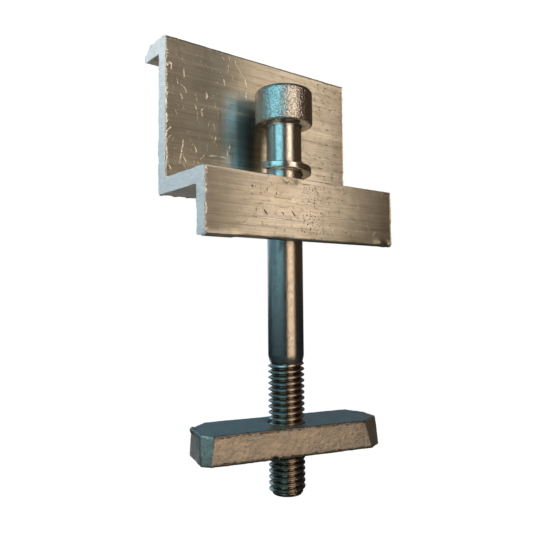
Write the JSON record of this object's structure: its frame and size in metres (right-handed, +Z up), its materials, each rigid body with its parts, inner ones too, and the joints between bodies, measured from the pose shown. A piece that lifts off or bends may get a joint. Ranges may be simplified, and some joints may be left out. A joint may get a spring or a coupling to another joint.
{
  "type": "solar panel end clamp",
  "caption": "Z-section aluminium end clamp for a framed solar panel, with a socket cap screw, a spring lock washer and a rail nut plate on the screw.",
  "frame": {"origin": "middle of the underside of the bracket's foot, where it stands on the rail", "axes": "+X along the bracket's cut length, +Y towards the panel, +Z up along the screw to its head"},
  "size_m": [0.051, 0.0274, 0.0969],
  "materials": {
    "bracket_aluminium": "mill finish with fine extrusion lines, scratched and pitted",
    "screw_steel": "stainless, fine turned grain",
    "washer_steel": "stainless, rolled wire",
    "plate_steel": "dull rolled bar, pitted along its edges"
  },
  "bodies": {
    "bracket": {"clamp_bracket": "bracket_aluminium"},
    "washer": {"lock_washer": "washer_steel"},
    "screw": {"socket_screw": "screw_steel"},
    "nut": {"nut_plate": "plate_steel"}
  },
  "joints": [
    {"name": "fastener_slide", "type": "slide", "parent": "bracket", "child": "washer", "axis": [0, 0, 1], "range_m": [-0.0008, 0.026]},
    {"name": "screw_turn", "type": "hinge", "parent": "washer", "child": "screw", "pos_m": [0, 0.00685, 0], "axis": [0, 0, 1], "range_deg": [-3240, 2160]},
    {"name": "nut_travel", "type": "slide", "parent": "washer", "child": "nut", "axis": [0, 0, 1], "range_m": [-0.0075, 0.01125]}
  ],
  "couplings": [
    {"joint": "nut_travel", "follows": "screw_turn", "m_per_rad": -0.00019894}
  ]
}
